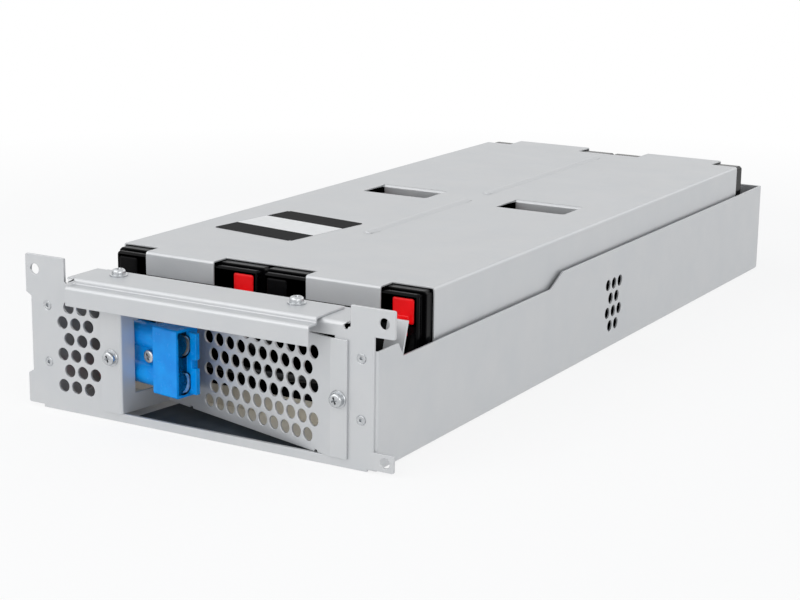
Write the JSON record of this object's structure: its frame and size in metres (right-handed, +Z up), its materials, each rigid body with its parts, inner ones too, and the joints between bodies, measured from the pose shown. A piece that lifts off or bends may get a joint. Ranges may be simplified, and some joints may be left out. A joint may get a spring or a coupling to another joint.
{
  "type": "ups battery cartridge",
  "caption": "Slide-in tray of sealed batteries with a perforated front, a recessed power connector, a grip lip and a folded sheet cover.",
  "frame": {"origin": "middle of the footprint, on the underside of the tray's floor", "axes": "+X to the right seen from the front, +Y from the front ears to the rear wall, +Z up"},
  "size_m": [0.211, 0.511, 0.0774],
  "materials": {
    "galvanised_sheet": "galvanised",
    "zinc_plated_steel": "zinc plated",
    "black_abs": "gloss",
    "black_vinyl": "satin",
    "red_vinyl": "satin",
    "blue_polycarbonate": "satin",
    "silver_plated_copper": "silver plated",
    "tinned_brass": "tinned",
    "insulating_sheet": "matte"
  },
  "bodies": {
    "root": {"tray": "galvanised_sheet", "front_frame": "galvanised_sheet", "recess_cover": "galvanised_sheet", "handle_plate": "galvanised_sheet", "battery_cover": "galvanised_sheet", "frame_rivets": "zinc_plated_steel", "recess_screws": "zinc_plated_steel", "handle_washers": "zinc_plated_steel", "handle_screws": "zinc_plated_steel", "connector_screw": "zinc_plated_steel", "base_pad": "insulating_sheet", "battery_terminals": "tinned_brass", "red_boots": "red_vinyl", "black_boots": "black_vinyl", "connector_housing": "blue_polycarbonate", "connector_contacts": "silver_plated_copper", "black_lead": "black_vinyl", "red_lead": "red_vinyl", "front_link": "black_vinyl", "rear_link": "black_vinyl", "front_jumper": "black_vinyl", "rear_jumper": "black_vinyl", "middle_jumper_left": "black_vinyl", "middle_jumper_centre": "black_vinyl", "middle_jumper_right": "black_vinyl", "battery_1_left": "black_abs", "battery_1_right": "black_abs", "battery_2_left": "black_abs", "battery_2_right": "black_abs", "battery_3_left": "black_abs", "battery_3_right": "black_abs", "battery_4_left": "black_abs", "battery_4_right": "black_abs"}
  },
  "joints": []
}
